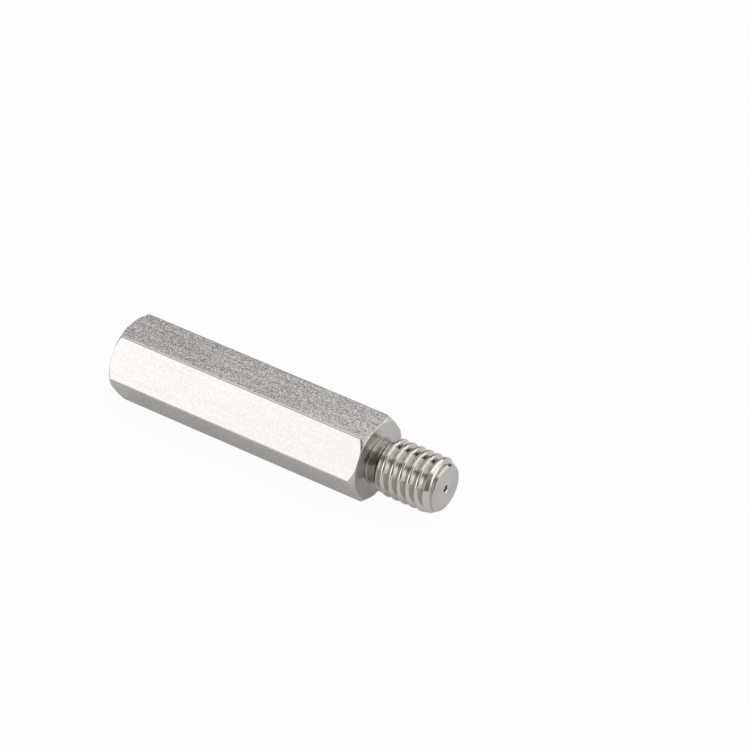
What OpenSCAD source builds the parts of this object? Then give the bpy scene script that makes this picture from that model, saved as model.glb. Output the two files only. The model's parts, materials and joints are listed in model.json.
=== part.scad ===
// Male-female hex standoff, turned in one piece from hexagon bar.
// The axis runs along X with the stud towards +X, and the body lies with one flat on Z = 0.
// The origin is at the middle of the length, on the surface that the standoff lies on.

/* [Hex body] */
// Width across the flats, which is the spanner size
across_flats = 8; // [7:0.1:12]
// Length of the hex body, from the tapped end face to the shoulder
body_length = 30; // [20:1:60]
// How far each long corner is turned back from a sharp point
corner_break = 0.06; // [0.02:0.01:0.3]
// How much wider than the flats the circle left on each end face is
end_circle_over = 0.1; // [0.04:0.02:0.6]
// Angle of the end chamfers, measured from the end face
end_chamfer_angle = 45; // [20:1:60]

/* [Threaded stud] */
// Nominal diameter of the stud's metric thread
stud_thread_d = 6; // [5:0.5:7]
// How far the crests of the stud's thread stay under the nominal diameter
stud_crest_allowance = 0.1; // [0.02:0.02:0.2]
// Length of the stud, from the shoulder to its tip
stud_length = 8; // [6:0.5:20]
// Depth of the thread relief groove under the nominal diameter, on the radius
relief_depth = 0.8; // [0.6:0.05:1.2]
// Width of the floor of the relief groove
relief_width = 1; // [0.6:0.1:2]
// Radius of the fillet between the shoulder and the floor of the relief groove
relief_fillet = 0.2; // [0.05:0.05:0.4]
// Angle of the groove's run-out into the thread, measured from the axis
relief_runout_angle = 45; // [30:1:75]
// Depth of the chamfer at the tip, on the radius
tip_chamfer_depth = 0.65; // [0.3:0.05:1]
// Length of the chamfer at the tip, along the axis
tip_chamfer_length = 1; // [0.3:0.05:1.5]
// Diameter of the centre mark in the face of the tip
centre_mark_d = 0.75; // [0.2:0.05:1]
// Included angle of the centre mark
centre_mark_angle = 100; // [60:1:140]

/* [Tapped hole] */
// Nominal diameter of the hole's metric thread
hole_thread_d = 6; // [4:0.5:6]
// Pitch of the hole's thread, by which the tapping drill is under the nominal diameter
hole_thread_pitch = 1; // [0.5:0.05:1.25]
// Depth of the hole at the full diameter of the tapping drill
hole_depth = 15; // [8:0.5:18]
// Included angle of the drill's point
drill_point_angle = 118; // [90:1:140]
// How much wider than the thread the countersink is at the mouth
countersink_over = 0.4; // [0.1:0.05:0.8]
// Included angle of the countersink
countersink_angle = 90; // [60:1:120]

/* [Hidden] */
$fn = 96;

// Places along the axis
total_length = body_length + stud_length;
tapped_end_x = -total_length / 2;
shoulder_x = tapped_end_x + body_length;
tip_x = shoulder_x + stud_length;

// Hexagon and the turned body
axis_height = across_flats / 2;
hex_corner_r = across_flats / 2 / cos(30);
body_r = hex_corner_r - corner_break;
end_circle_r = (across_flats + end_circle_over) / 2;
end_chamfer_length = (body_r - end_circle_r) * tan(end_chamfer_angle);

// Stud, plain over the crests of its thread
stud_r = (stud_thread_d - stud_crest_allowance) / 2;
relief_r = stud_thread_d / 2 - relief_depth;
relief_end_x = shoulder_x + relief_width;
thread_start_x = relief_end_x + (stud_r - relief_r) / tan(relief_runout_angle);
tip_chamfer_x = tip_x - tip_chamfer_length;
tip_r = stud_r - tip_chamfer_depth;
centre_mark_r = centre_mark_d / 2;
centre_mark_depth = centre_mark_r / tan(centre_mark_angle / 2);

// Hole, plain at the diameter of the tapping drill
hole_r = (hole_thread_d - hole_thread_pitch) / 2;
hole_end_x = tapped_end_x + hole_depth;
drill_point_length = hole_r / tan(drill_point_angle / 2);
countersink_r = (hole_thread_d + countersink_over) / 2;
countersink_depth = (countersink_r - hole_r) / tan(countersink_angle / 2);

// How far the hole is cut past the end face that it opens
mouth_overshoot = 1;
mouth_r = countersink_r + mouth_overshoot * tan(countersink_angle / 2);

// Revolves a flat outline about the X axis, with its X along the axis and its Y as the radius
module turned() {
    rotate([0, 90, 0])
        rotate_extrude()
            mirror([1, 0])
                rotate(90)
                    children();
}

// Hexagon bar that the part is turned from, with a flat at the top and at the bottom
module hexagon_bar() {
    translate([tapped_end_x, 0, 0])
        rotate([0, 90, 0])
            rotate(30)
                cylinder(r = hex_corner_r, h = total_length, $fn = 6);
}

// Outline that the bar is turned to, from the tapped end to the centre mark in the tip
module turned_outline() {
    polygon([
        [tapped_end_x, 0],
        [tapped_end_x, end_circle_r],
        [tapped_end_x + end_chamfer_length, body_r],
        [shoulder_x - end_chamfer_length, body_r],
        [shoulder_x, end_circle_r],
        [shoulder_x, relief_r + relief_fillet],
        [shoulder_x + relief_fillet, relief_r],
        [relief_end_x, relief_r],
        [thread_start_x, stud_r],
        [tip_chamfer_x, stud_r],
        [tip_x, tip_r],
        [tip_x, centre_mark_r],
        [tip_x - centre_mark_depth, 0]
    ]);
}

// Hollow of the fillet between the shoulder and the floor of the relief groove
module relief_hollow() {
    translate([shoulder_x + relief_fillet, relief_r + relief_fillet])
        circle(r = relief_fillet);
}

// Outline of the countersink, the tapping drill and the drill's point
module hole_outline() {
    polygon([
        [tapped_end_x - mouth_overshoot, 0],
        [tapped_end_x - mouth_overshoot, mouth_r],
        [tapped_end_x + countersink_depth, hole_r],
        [hole_end_x, hole_r],
        [hole_end_x + drill_point_length, 0]
    ]);
}

module turned_bar() {
    intersection() {
        hexagon_bar();
        turned()
            difference() {
                turned_outline();
                relief_hollow();
            }
    }
}

module standoff() {
    color("silver")
        translate([0, 0, axis_height])
            difference() {
                turned_bar();
                turned()
                    hole_outline();
            }
}

standoff();
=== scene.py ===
"""Looks of the hex standoff: drawn flats, turned ends and both threads, on a plain studio floor."""

import json
import math

import bmesh
import bpy
import numpy as np
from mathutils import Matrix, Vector


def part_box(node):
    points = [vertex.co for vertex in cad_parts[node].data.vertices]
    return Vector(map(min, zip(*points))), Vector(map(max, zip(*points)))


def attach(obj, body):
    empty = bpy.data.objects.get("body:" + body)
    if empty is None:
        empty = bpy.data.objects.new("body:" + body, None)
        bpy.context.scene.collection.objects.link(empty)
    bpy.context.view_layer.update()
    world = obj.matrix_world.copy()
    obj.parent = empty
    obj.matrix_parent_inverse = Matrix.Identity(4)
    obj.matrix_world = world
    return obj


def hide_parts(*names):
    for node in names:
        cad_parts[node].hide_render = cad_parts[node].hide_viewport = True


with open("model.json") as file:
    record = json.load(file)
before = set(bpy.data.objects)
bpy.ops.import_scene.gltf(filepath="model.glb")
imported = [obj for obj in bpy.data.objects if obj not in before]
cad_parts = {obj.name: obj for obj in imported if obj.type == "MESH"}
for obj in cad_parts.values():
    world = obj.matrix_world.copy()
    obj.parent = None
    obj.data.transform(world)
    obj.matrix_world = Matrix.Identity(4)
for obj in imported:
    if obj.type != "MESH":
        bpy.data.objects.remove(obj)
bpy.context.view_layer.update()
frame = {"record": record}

MM = 0.001
NODE = "standoff"

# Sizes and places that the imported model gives, in metres
mounts = {mount["name"]: mount for mount in frame["record"]["mounts"]}
low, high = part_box(NODE)
AXIS_Z = (low.z + high.z) / 2
FLAT_R = (high.z - low.z) / 2
CORNER_R = (high.y - low.y) / 2
TAPPED_END_X = low.x
TIP_X = high.x
SHOULDER_X = mounts["shoulder"]["pos_m"][0]
STUD_R = mounts["stud"]["dims"]["r_mm"] * MM
HOLE_R = mounts["tapped_hole"]["dims"]["r_mm"] * MM

# Hex body
END_CIRCLE_R = 4.05 * MM
END_CHAMFER_ANGLE = math.radians(45)
EDGE_ROUND = 0.08 * MM
EDGE_STEPS = 4
CORNER_SMOOTHING = 0.008 * MM
# A facet's own columns count as on it, which a bare comparison could miss
CORNER_REACH = 1.01
CORNER_COLUMNS = 7
FLAT_COLUMNS = 13
SUPPORT_GAP = 0.03 * MM
BODY_ROWS = 14
WELD_DISTANCE = 0.0002 * MM

# Stud
RELIEF_R = 2.2 * MM
RELIEF_END_X = SHOULDER_X + 1.0 * MM
RELIEF_FILLET = 0.2 * MM
FILLET_STEPS = 8
RUNOUT_SLOPE = 1.0
TIP_R = 2.3 * MM
TIP_CHAMFER_SLOPE = 0.65
CENTRE_MARK_R = 0.45 * MM
CENTRE_MARK_SLOPE = 1 / math.tan(math.radians(50))
CENTRE_MARK_LIP = 0.08 * MM
CENTRE_MARK_LIP_SLOPE = math.tan(math.radians(34))
CENTRE_PIT_R = 0.34 * MM
CENTRE_PIT_DEPTH = 0.35 * MM

# Places of rows as shares of the way from one edge of a surface to the other
SHOULDER_SHARES = (0.3, 0.6, 0.9)
TIP_FACE_SHARES = (0.03, 0.35, 0.7, 0.95)
CENTRE_MARK_SHARES = (0.1, 0.5, 0.9, 1.0)
DRILL_POINT_SHARES = (0.35, 0.7, 0.96)

# Threads, right-hand, with the crest's place along the axis at the +Y side
PITCH = 1.0 * MM
FLANK_SLOPE = math.sqrt(3)
CREST_HALF_WIDTH = PITCH / 8
# Just over the radius of the tip's chamfer where the thread ends, so that its rows end flush
STUD_ROOT_R = 2.38 * MM
STUD_CREST_X = SHOULDER_X + 0.77 * MM
STUD_ROWS_PER_TURN = 28
CREST_ROUND = 0.16 * MM
ROOT_ROUND = 0.05 * MM
HOLE_ROOT_R = 3.0 * MM
HOLE_ROWS_PER_TURN = 10

# Tapped hole
COUNTERSINK_R = 3.2 * MM
HOLE_THREAD_END_X = TAPPED_END_X + 12.5 * MM
HOLE_RUNOUT = 1.5 * MM
HOLE_END_X = TAPPED_END_X + 15.0 * MM
DRILL_POINT_LENGTH = HOLE_R / math.tan(math.radians(59))

# Camera, fitted to the long edges of the body in the photograph
CAMERA_AT = Vector((196.1, -271.4, 268.7)) * MM
VIEW_AZIMUTH = math.radians(34.35)
VIEW_ELEVATION = math.radians(37.73)
SENSOR_MM = 36.0
LENS_MM = 206.7
CLIP_START = 0.01
CLIP_END = 10.0

# Finishes of the steel. A scale is in features a metre, and a tilt is a share of a radian
STEEL_COLOR = (0.595, 0.585, 0.570, 1.0)
BRIGHT_COLOR = (0.612, 0.592, 0.556, 1.0)
# Painted shade: the stud's steel takes this darker colour in its deep parts, fully below the first
# radius and fading out by the second
PAINTED_SHADE_COLOR = (0.370, 0.355, 0.330, 1.0)
FULL_SHADE_R = 2.3 * MM
NO_SHADE_R = 2.6 * MM
DRAWN_ROUGHNESS = 0.24
TURNED_ROUGHNESS = 0.28
BRIGHT_ROUGHNESS = 0.16
TURNED_ANISOTROPIC = 0.9
BRIGHT_ANISOTROPIC = 0.5
QUARTER_TURN = 0.25
GRAIN_SCALE = 7500
GRAIN_TILT = 0.12
LINE_SCALE = 5200
LINE_TILT = 0.035
LINE_SHORTENING = 0.03
RING_SCALE = 7000
RING_DEPTH = 0.0015 * MM
WAVE_SCALE = 1800
WAVE_DEPTH = 0.002 * MM
NOISE_DETAIL = 1

# Floor, and how much of it is plain white where the camera sees it and where steel mirrors it
FLOOR_HALF = 1.5
FLOOR_Z = -0.02 * MM
FLOOR_COLOR = (0.92, 0.92, 0.92, 1.0)
FLOOR_SEEN_WHITE = 0.955
FLOOR_MIRRORED_WHITE = 0.15

# Light. A softbox has an azimuth, an elevation, a radius and a softness in degrees, and a radiance
ROOM_LEVEL = 0.05
SOFTBOXES = [
    (242, 12, 28, 11, 1.42),
    (230, 27, 12, 8, 0.75),
    (183, 62.5, 15, 4, 1.35),
    (126, 53.5, 15.8, 3.5, 1.3),
    (214, 47, 11, 8, 0.45),
    (14, 9, 25, 5, 1.6),
    (58, 36, 22, 6, 1.4),
    (15, 66, 18, 6, 1.6),
    (-60, 62, 26, 8, 0.4),
    (58, -4, 20, 3, 1.2),
    (-55, 22, 34, 14, 0.18),
    (180, 14, 26, 10, 0.45),
    (106, 4, 16, 6, 0.5),
]


def smooth_min(a, b, width):
    """The lower of a and b, with the corner where they meet rounded over about that width."""
    share = np.clip(0.5 + 0.5 * (b - a) / width, 0, 1)
    return b * (1 - share) + a * share - width * share * (1 - share)


def smooth_max(a, b, width):
    return -smooth_min(-np.asarray(a), -np.asarray(b), width)


# Columns of the mesh, as angles round the axis from +Y towards +Z, packed at the hexagon's corners
SECTOR = math.pi / 3
CORNER_HALF_ANGLE = SECTOR / 2 - math.acos(FLAT_R / CORNER_R)
from_corner = np.concatenate([
    np.linspace(0, 2 * CORNER_HALF_ANGLE, CORNER_COLUMNS),
    np.linspace(2 * CORNER_HALF_ANGLE, SECTOR / 2, FLAT_COLUMNS)[1:],
])
in_sector = np.concatenate([from_corner, SECTOR - from_corner[-2::-1]])
columns = np.concatenate([in_sector[:-1] + SECTOR * k for k in range(6)] + [[2 * math.pi]])

to_flat_middle = np.abs(np.mod(columns, SECTOR) - SECTOR / 2)
hexagon = smooth_min(FLAT_R / np.cos(to_flat_middle), CORNER_R, CORNER_SMOOTHING)


class Skin:
    """Rows of points from the bottom of the hole, over the body, to the centre mark in the tip."""

    def __init__(self):
        self.x_rows = []
        self.r_rows = []
        self.finishes = []

    def add(self, x, r, finish):
        """Adds one row, as numbers or one value a column. The faces up to it get that finish."""
        self.x_rows.append(np.broadcast_to(x, columns.shape))
        self.r_rows.append(np.broadcast_to(r, columns.shape))
        self.finishes.append(finish)

    def add_rows(self, x_rows, r_rows, finish):
        for x, r in zip(x_rows, r_rows):
            self.add(x, r, finish)


# The fourth finish is the stud's bright steel with painted shade in its deep parts
DRAWN, TURNED, BRIGHT, BRIGHT_WITH_PAINTED_SHADE = range(4)


def arc_rows(centre_in, centre_r, start, end):
    """Rows round an edge: distance in from the end face, and radius, for each column."""
    turns = np.linspace(start, end, EDGE_STEPS + 1)
    depths = [centre_in - EDGE_ROUND * math.cos(turn) for turn in turns]
    radii = [centre_r + EDGE_ROUND * math.sin(turn) for turn in turns]
    return depths, radii


def end_rows():
    """Rows from the rim of an end face, over the chamfer that its corners have, to the flats."""
    slope = math.tan(END_CHAMFER_ANGLE)
    lean = EDGE_ROUND / math.cos(END_CHAMFER_ANGLE)
    flat_centre_r = hexagon - EDGE_ROUND
    rim_centre_r = np.minimum(END_CIRCLE_R + (EDGE_ROUND - lean) / slope, flat_centre_r)
    flat_centre_in = np.maximum((flat_centre_r - END_CIRCLE_R) * slope + lean, EDGE_ROUND)
    rim_centre_in = np.full(columns.shape, EDGE_ROUND)
    rim = arc_rows(rim_centre_in, rim_centre_r, 0, END_CHAMFER_ANGLE)
    shoulder = arc_rows(flat_centre_in, flat_centre_r, END_CHAMFER_ANGLE, math.pi / 2)
    depths = [0 * hexagon] + rim[0] + shoulder[0] + [flat_centre_in + SUPPORT_GAP]
    radii = [rim_centre_r - SUPPORT_GAP] + rim[1] + shoulder[1] + [hexagon]
    return np.array(depths), np.array(radii)


def helix_rows(start_x, end_x, crest_x, rows_per_turn, radius_at):
    """Rows that follow a right-hand helix between two places on the axis, where they end flush.

    radius_at takes the place along the axis and the distance from the thread's crest or groove."""
    first = math.floor((start_x - PITCH - crest_x) / PITCH)
    last = math.ceil((end_x - crest_x) / PITCH)
    count = (last - first) * rows_per_turn + 1
    steps = first + np.arange(count) / rows_per_turn
    from_crest = np.abs(steps - np.round(steps)) * PITCH
    x = crest_x + PITCH * (steps[:, None] + columns[None, :] / (2 * math.pi))
    x = np.clip(x, start_x, end_x)
    r = radius_at(x, np.broadcast_to(from_crest[:, None], x.shape))
    return x, r


def stud_radius(x, from_crest):
    """Thread of the stud, cut by the run-out of the relief groove and by the chamfer of the tip."""
    flank = STUD_R + (CREST_HALF_WIDTH - from_crest) * FLANK_SLOPE
    thread = smooth_min(flank, STUD_R, CREST_ROUND)
    thread = smooth_max(thread, STUD_ROOT_R, ROOT_ROUND)
    runout = RELIEF_R + (x - RELIEF_END_X) * RUNOUT_SLOPE
    tip = TIP_R + (TIP_X - x) * TIP_CHAMFER_SLOPE
    return np.minimum(np.minimum(thread, STUD_R), np.minimum(runout, tip))


def hole_radius(x, from_groove):
    """Thread of the hole, opened by the countersink and fading out towards the hole's bottom."""
    flank = HOLE_ROOT_R + (CREST_HALF_WIDTH - from_groove) * FLANK_SLOPE
    groove = np.maximum(smooth_min(flank, HOLE_ROOT_R, CREST_ROUND), HOLE_R)
    fade = np.clip((HOLE_THREAD_END_X - x) / HOLE_RUNOUT, 0, 1)
    countersink = COUNTERSINK_R - (x - TAPPED_END_X)
    return np.maximum(HOLE_R + (groove - HOLE_R) * fade, countersink)


def rounded_corner(before, corner, after, radius, steps):
    """Points of a rounded corner between two straight stretches of a turned outline."""
    before, corner, after = (np.array(point) for point in (before, corner, after))
    to_before = (before - corner) / np.linalg.norm(before - corner)
    to_after = (after - corner) / np.linalg.norm(after - corner)
    half_angle = math.acos(float(np.clip(to_before @ to_after, -1, 1))) / 2
    reach = radius / math.tan(half_angle)
    shares = np.linspace(0, 1, steps + 1)
    return [
        corner + to_before * reach * (1 - s) ** 2 + to_after * reach * s ** 2
        for s in shares
    ]


def standoff_skin():
    skin = Skin()

    # Bottom of the hole, its thread and its countersink
    skin.add(HOLE_END_X + DRILL_POINT_LENGTH, 0, TURNED)
    for share in DRILL_POINT_SHARES:
        skin.add(HOLE_END_X + DRILL_POINT_LENGTH * (1 - share), HOLE_R * share, TURNED)
    skin.add(HOLE_END_X, HOLE_R, TURNED)
    skin.add(HOLE_END_X - SUPPORT_GAP, HOLE_R, TURNED)
    x, r = helix_rows(TAPPED_END_X + EDGE_ROUND, HOLE_THREAD_END_X, TAPPED_END_X,
                      HOLE_ROWS_PER_TURN, hole_radius)
    skin.add_rows(x[::-1], r[::-1], BRIGHT)
    skin.add(TAPPED_END_X, COUNTERSINK_R + EDGE_ROUND, TURNED)

    # Hex body, from the tapped end face to the shoulder
    depths, radii = end_rows()
    skin.add(TAPPED_END_X, COUNTERSINK_R + EDGE_ROUND + SUPPORT_GAP, TURNED)
    skin.add(TAPPED_END_X + depths[0], radii[0], TURNED)
    skin.add_rows(TAPPED_END_X + depths[1:], radii[1:], DRAWN)
    left = TAPPED_END_X + depths[-1]
    right = SHOULDER_X - depths[-1]
    for share in np.linspace(0, 1, BODY_ROWS)[1:-1]:
        skin.add(left + (right - left) * share, hexagon, DRAWN)
    skin.add_rows(SHOULDER_X - depths[:0:-1], radii[:0:-1], DRAWN)

    # Shoulder, relief groove and threaded stud
    skin.add(SHOULDER_X, radii[0], TURNED)
    for share in SHOULDER_SHARES:
        skin.add(SHOULDER_X, radii[0] + (RELIEF_R + 2 * RELIEF_FILLET - radii[0]) * share, TURNED)
    shoulder_point = (SHOULDER_X, FLAT_R)
    relief_point = (SHOULDER_X, RELIEF_R)
    relief_end = (RELIEF_END_X, RELIEF_R)
    # The relief groove and the thread get bright steel with painted shade in their deep parts
    for x, r in rounded_corner(shoulder_point, relief_point, relief_end, RELIEF_FILLET, FILLET_STEPS):
        skin.add(x, r, BRIGHT_WITH_PAINTED_SHADE)
    face_x = TIP_X - CENTRE_MARK_LIP
    thread_end_x = face_x - EDGE_ROUND / 2
    x, r = helix_rows(RELIEF_END_X, thread_end_x, STUD_CREST_X, STUD_ROWS_PER_TURN, stud_radius)
    skin.add_rows(x, r, BRIGHT_WITH_PAINTED_SHADE)

    # Face of the tip, and the centre mark with the lip that its punch raised
    chamfer_point = (thread_end_x, TIP_R + (TIP_X - thread_end_x) * TIP_CHAMFER_SLOPE)
    rim_point = (face_x, TIP_R + CENTRE_MARK_LIP * TIP_CHAMFER_SLOPE)
    lip_foot = (face_x, CENTRE_MARK_R + CENTRE_MARK_LIP / CENTRE_MARK_LIP_SLOPE)
    lip_top = (TIP_X, CENTRE_MARK_R)
    pit_x = TIP_X - (CENTRE_MARK_R - CENTRE_PIT_R) * CENTRE_MARK_SLOPE
    for x, r in rounded_corner(chamfer_point, rim_point, lip_foot, EDGE_ROUND, EDGE_STEPS):
        skin.add(x, r, TURNED)
    for share in TIP_FACE_SHARES:
        skin.add(face_x, rim_point[1] + (lip_foot[1] - rim_point[1]) * share, TURNED)
    skin.add(*lip_foot, BRIGHT)
    skin.add(*lip_top, BRIGHT)
    for share in CENTRE_MARK_SHARES:
        cone_r = CENTRE_MARK_R + (CENTRE_PIT_R - CENTRE_MARK_R) * share
        skin.add(TIP_X + (pit_x - TIP_X) * share, cone_r, BRIGHT)
    # The pit gets bright steel with painted shade
    for share in CENTRE_MARK_SHARES:
        skin.add(pit_x - CENTRE_PIT_DEPTH * share, CENTRE_PIT_R, BRIGHT_WITH_PAINTED_SHADE)
    skin.add(pit_x - CENTRE_PIT_DEPTH - CENTRE_PIT_R * CENTRE_MARK_SLOPE, 0, BRIGHT_WITH_PAINTED_SHADE)
    return skin


def skin_mesh(name, skin):
    """Closes the rows of points into one mesh, welded at its seam, its ends and the threads' ends."""
    x = np.array(skin.x_rows)
    r = np.array(skin.r_rows)
    y = r * np.cos(columns)
    z = AXIS_Z + r * np.sin(columns)
    points = np.stack([x, y, z], axis=-1).reshape(-1, 3)
    row_count, column_count = x.shape
    corner = np.arange(row_count * column_count).reshape(row_count, column_count)
    quads = np.stack([corner[:-1, :-1], corner[1:, :-1], corner[1:, 1:], corner[:-1, 1:]], axis=-1)
    finishes = np.repeat(np.array(skin.finishes)[1:, None], column_count - 1, axis=1)
    at_corner = to_flat_middle > SECTOR / 2 - CORNER_HALF_ANGLE * CORNER_REACH
    facets = at_corner[:-1] & at_corner[1:]
    finishes[(finishes == DRAWN) & facets] = TURNED

    mesh = bpy.data.meshes.new(name)
    mesh.from_pydata(points.tolist(), [], quads.reshape(-1, 4).tolist())
    mesh.polygons.foreach_set("material_index", finishes.ravel().astype(np.int32))
    work = bmesh.new()
    work.from_mesh(mesh)
    bmesh.ops.remove_doubles(work, verts=work.verts, dist=WELD_DISTANCE)
    bmesh.ops.dissolve_degenerate(work, edges=work.edges, dist=WELD_DISTANCE)
    bmesh.ops.recalc_face_normals(work, faces=work.faces)
    work.to_mesh(mesh)
    work.free()
    mesh.shade_smooth()
    return mesh


def steel_material(name, color, roughness):
    """Bare stainless steel. Returns the material, its node tree and its shader."""
    material = bpy.data.materials.new(name)
    material.use_nodes = True
    tree = material.node_tree
    shader = tree.nodes["Principled BSDF"]
    shader.inputs["Metallic"].default_value = 1.0
    shader.inputs["Base Color"].default_value = color
    shader.inputs["Roughness"].default_value = roughness
    return material, tree, shader


def noise(tree, vector, scale):
    """Noise over a vector, as a value and a colour from 0 to 1."""
    texture = tree.nodes.new("ShaderNodeTexNoise")
    texture.inputs["Scale"].default_value = scale
    texture.inputs["Detail"].default_value = NOISE_DETAIL
    tree.links.new(vector, texture.inputs["Vector"])
    return texture.outputs["Fac"], texture.outputs["Color"]


def add_bump(tree, shader, height, depth):
    """Bumps of that depth from a height."""
    bump = tree.nodes.new("ShaderNodeBump")
    bump.inputs["Strength"].default_value = 1.0
    bump.inputs["Distance"].default_value = depth
    tree.links.new(height, bump.inputs["Height"])
    tree.links.new(bump.outputs["Normal"], shader.inputs["Normal"])


def tilted(tree, normal, place, scale, tilt):
    """Tilts a normal by noise over a place, by up to about that share of a radian either side."""
    color = noise(tree, place, scale)[1]
    lean = tree.nodes.new("ShaderNodeVectorMath")
    lean.operation = "MULTIPLY_ADD"
    lean.inputs[1].default_value = (2 * tilt, 2 * tilt, 2 * tilt)
    lean.inputs[2].default_value = (-tilt, -tilt, -tilt)
    tree.links.new(color, lean.inputs[0])
    leaned = tree.nodes.new("ShaderNodeVectorMath")
    leaned.operation = "ADD"
    tree.links.new(normal, leaned.inputs[0])
    tree.links.new(lean.outputs["Vector"], leaned.inputs[1])
    unit = tree.nodes.new("ShaderNodeVectorMath")
    unit.operation = "NORMALIZE"
    tree.links.new(leaned.outputs["Vector"], unit.inputs[0])
    return unit.outputs["Vector"]


def object_place(tree):
    return tree.nodes.new("ShaderNodeTexCoord").outputs["Object"]


def drawn_place(tree):
    """Place with its length along the axis drawn together, so that noise over it makes long lines."""
    drawn = tree.nodes.new("ShaderNodeVectorMath")
    drawn.operation = "MULTIPLY"
    drawn.inputs[1].default_value = (LINE_SHORTENING, 1, 1)
    tree.links.new(object_place(tree), drawn.inputs[0])
    return drawn.outputs["Vector"]


def turned_place(tree):
    """Place along the axis and distance from it, which are the same all round a turned surface."""
    split = tree.nodes.new("ShaderNodeSeparateXYZ")
    place = object_place(tree)
    tree.links.new(place, split.inputs[0])
    across = tree.nodes.new("ShaderNodeVectorMath")
    across.operation = "MULTIPLY_ADD"
    across.inputs[1].default_value = (0, 1, 1)
    across.inputs[2].default_value = (0, 0, -AXIS_Z)
    tree.links.new(place, across.inputs[0])
    radius = tree.nodes.new("ShaderNodeVectorMath")
    radius.operation = "LENGTH"
    tree.links.new(across.outputs["Vector"], radius.inputs[0])
    joined = tree.nodes.new("ShaderNodeCombineXYZ")
    tree.links.new(split.outputs["X"], joined.inputs["X"])
    tree.links.new(radius.outputs["Value"], joined.inputs["Y"])
    return joined.outputs["Vector"]


def brush_round_axis(tree, shader, anisotropic):
    """Turns the gloss along the marks that a lathe leaves round the X axis."""
    tangent = tree.nodes.new("ShaderNodeTangent")
    tangent.direction_type = "RADIAL"
    tangent.axis = "X"
    tree.links.new(tangent.outputs["Tangent"], shader.inputs["Tangent"])
    shader.inputs["Anisotropic"].default_value = anisotropic
    shader.inputs["Anisotropic Rotation"].default_value = QUARTER_TURN


def drawn_steel():
    """Satin skin of the drawn bar, with a fine even grain and faint lines along the bar."""
    material, tree, shader = steel_material("drawn_steel", STEEL_COLOR, DRAWN_ROUGHNESS)
    normal = tree.nodes.new("ShaderNodeNewGeometry").outputs["Normal"]
    normal = tilted(tree, normal, object_place(tree), GRAIN_SCALE, GRAIN_TILT)
    normal = tilted(tree, normal, drawn_place(tree), LINE_SCALE, LINE_TILT)
    tree.links.new(normal, shader.inputs["Normal"])
    return material


def turned_steel():
    """Faces cut on the lathe, with fine rings."""
    material, tree, shader = steel_material("turned_steel", STEEL_COLOR, TURNED_ROUGHNESS)
    rings = noise(tree, turned_place(tree), RING_SCALE)[0]
    add_bump(tree, shader, rings, RING_DEPTH)
    brush_round_axis(tree, shader, TURNED_ANISOTROPIC)
    return material


def bright_steel(name):
    """Bright and a little uneven, as threads are. Returns what steel_material does."""
    material, tree, shader = steel_material(name, BRIGHT_COLOR, BRIGHT_ROUGHNESS)
    waves = noise(tree, object_place(tree), WAVE_SCALE)[0]
    add_bump(tree, shader, waves, WAVE_DEPTH)
    brush_round_axis(tree, shader, BRIGHT_ANISOTROPIC)
    return material, tree, shader


def shade_painted_steel():
    """Bright steel of the stud, with painted shade in the thread's roots, the groove and the pit: its
    colour darkens towards the axis.
    """
    material, tree, shader = bright_steel("shade_painted_steel")
    split = tree.nodes.new("ShaderNodeSeparateXYZ")
    tree.links.new(turned_place(tree), split.inputs[0])
    # Painted shade: the colour goes from the bright colour to the shade colour as the distance from the
    # axis drops between the two radii
    unshaded = tree.nodes.new("ShaderNodeMapRange")
    unshaded.interpolation_type = "SMOOTHSTEP"
    unshaded.inputs["From Min"].default_value = FULL_SHADE_R
    unshaded.inputs["From Max"].default_value = NO_SHADE_R
    tree.links.new(split.outputs["Y"], unshaded.inputs["Value"])
    mix = tree.nodes.new("ShaderNodeMixRGB")
    mix.inputs["Color1"].default_value = PAINTED_SHADE_COLOR
    mix.inputs["Color2"].default_value = BRIGHT_COLOR
    tree.links.new(unshaded.outputs["Result"], mix.inputs["Fac"])
    tree.links.new(mix.outputs["Color"], shader.inputs["Base Color"])
    return material


def add_standoff():
    """The standoff as one piece, with its materials in the order of the finishes' numbers."""
    mesh = skin_mesh("standoff_steel", standoff_skin())
    materials = [
        drawn_steel(),
        turned_steel(),
        bright_steel("bright_steel")[0],
        shade_painted_steel(),
    ]
    for material in materials:
        mesh.materials.append(material)
    piece = bpy.data.objects.new("standoff_steel", mesh)
    bpy.context.scene.collection.objects.link(piece)
    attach(piece, "root")
    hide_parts(NODE)


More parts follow.
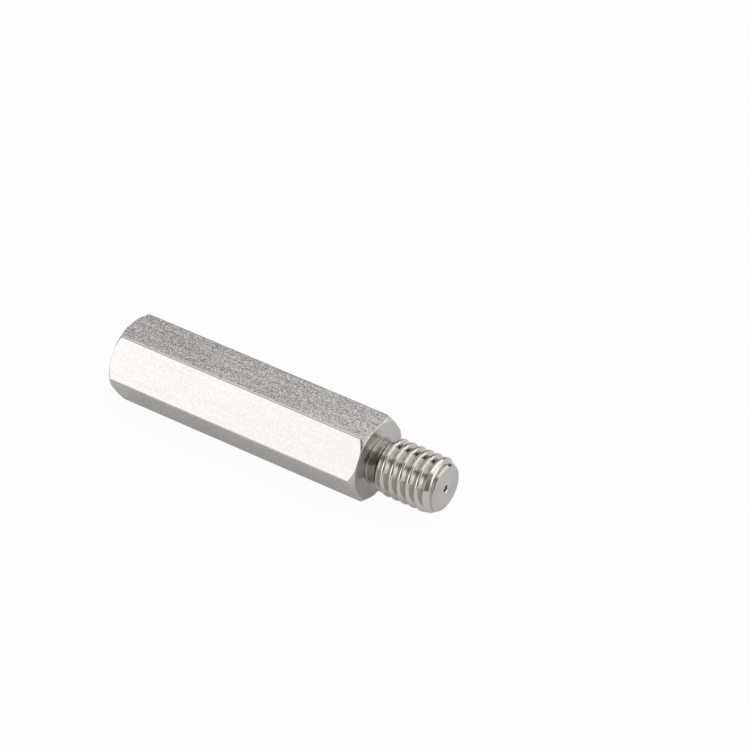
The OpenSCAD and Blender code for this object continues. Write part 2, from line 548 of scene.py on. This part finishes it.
def add_floor():
    """Pale paper floor, which the camera sees as near white and which keeps the standoff's shadow."""
    mesh = bpy.data.meshes.new("floor")
    corners = [(-FLOOR_HALF, -FLOOR_HALF), (FLOOR_HALF, -FLOOR_HALF),
               (FLOOR_HALF, FLOOR_HALF), (-FLOOR_HALF, FLOOR_HALF)]
    mesh.from_pydata([(x, y, FLOOR_Z) for x, y in corners], [], [(0, 1, 2, 3)])
    material = bpy.data.materials.new("floor_paper")
    material.use_nodes = True
    tree = material.node_tree
    tree.nodes.clear()
    output = tree.nodes.new("ShaderNodeOutputMaterial")
    paper = tree.nodes.new("ShaderNodeBsdfDiffuse")
    paper.inputs["Color"].default_value = FLOOR_COLOR
    white = tree.nodes.new("ShaderNodeEmission")
    white.inputs["Strength"].default_value = 1.0
    ray = tree.nodes.new("ShaderNodeLightPath")
    share = None
    for kind, white_share in (
        ("Is Camera Ray", FLOOR_SEEN_WHITE),
        ("Is Glossy Ray", FLOOR_MIRRORED_WHITE),
        ("Is Transmission Ray", FLOOR_MIRRORED_WHITE),
    ):
        add = tree.nodes.new("ShaderNodeMath")
        add.operation = "MULTIPLY_ADD"
        add.inputs[1].default_value = white_share
        add.inputs[2].default_value = 0
        tree.links.new(ray.outputs[kind], add.inputs[0])
        if share:
            tree.links.new(share, add.inputs[2])
        share = add.outputs[0]
    mix = tree.nodes.new("ShaderNodeMixShader")
    tree.links.new(share, mix.inputs["Fac"])
    tree.links.new(paper.outputs[0], mix.inputs[1])
    tree.links.new(white.outputs[0], mix.inputs[2])
    tree.links.new(mix.outputs[0], output.inputs["Surface"])
    mesh.materials.append(material)
    floor = bpy.data.objects.new("floor", mesh)
    bpy.context.scene.collection.objects.link(floor)


def direction(azimuth, elevation):
    """Unit vector. Azimuth 0 is towards +X and 90 towards +Y, in degrees."""
    a = math.radians(azimuth)
    e = math.radians(elevation)
    return Vector((math.cos(a) * math.cos(e), math.sin(a) * math.cos(e), math.sin(e)))


def add_light():
    """Dim room with round softboxes whose light fades towards their rims."""
    world = bpy.data.worlds.new("studio")
    world.use_nodes = True
    tree = world.node_tree
    looking = tree.nodes.new("ShaderNodeTexCoord").outputs["Generated"]
    level = None
    for azimuth, elevation, radius, softness, radiance in SOFTBOXES:
        facing = tree.nodes.new("ShaderNodeVectorMath")
        facing.operation = "DOT_PRODUCT"
        facing.inputs[1].default_value = direction(azimuth, elevation)
        tree.links.new(looking, facing.inputs[0])
        fade = tree.nodes.new("ShaderNodeMapRange")
        fade.interpolation_type = "SMOOTHSTEP"
        fade.inputs["From Min"].default_value = math.cos(math.radians(radius + softness))
        fade.inputs["From Max"].default_value = math.cos(math.radians(radius - softness))
        fade.inputs["To Max"].default_value = radiance
        tree.links.new(facing.outputs["Value"], fade.inputs["Value"])
        total = tree.nodes.new("ShaderNodeMath")
        total.inputs[0].default_value = ROOM_LEVEL
        if level:
            tree.links.new(level, total.inputs[0])
        tree.links.new(fade.outputs["Result"], total.inputs[1])
        level = total.outputs[0]
    tree.links.new(level, tree.nodes["Background"].inputs["Strength"])
    tree.nodes["Background"].inputs["Color"].default_value = (1, 1, 1, 1)
    bpy.context.scene.world = world


def add_camera():
    camera = bpy.data.cameras.new("camera")
    camera.sensor_width = SENSOR_MM
    camera.lens = LENS_MM
    camera.clip_start = CLIP_START
    camera.clip_end = CLIP_END
    view = bpy.data.objects.new("camera", camera)
    back = Vector((
        math.sin(VIEW_AZIMUTH) * math.cos(VIEW_ELEVATION),
        -math.cos(VIEW_AZIMUTH) * math.cos(VIEW_ELEVATION),
        math.sin(VIEW_ELEVATION),
    ))
    view.location = CAMERA_AT
    view.rotation_mode = "QUATERNION"
    view.rotation_quaternion = (-back).to_track_quat("-Z", "Y")
    bpy.context.scene.collection.objects.link(view)
    bpy.context.scene.camera = view


add_standoff()
add_floor()
add_light()
add_camera()
bpy.context.scene.view_settings.view_transform = "Standard"
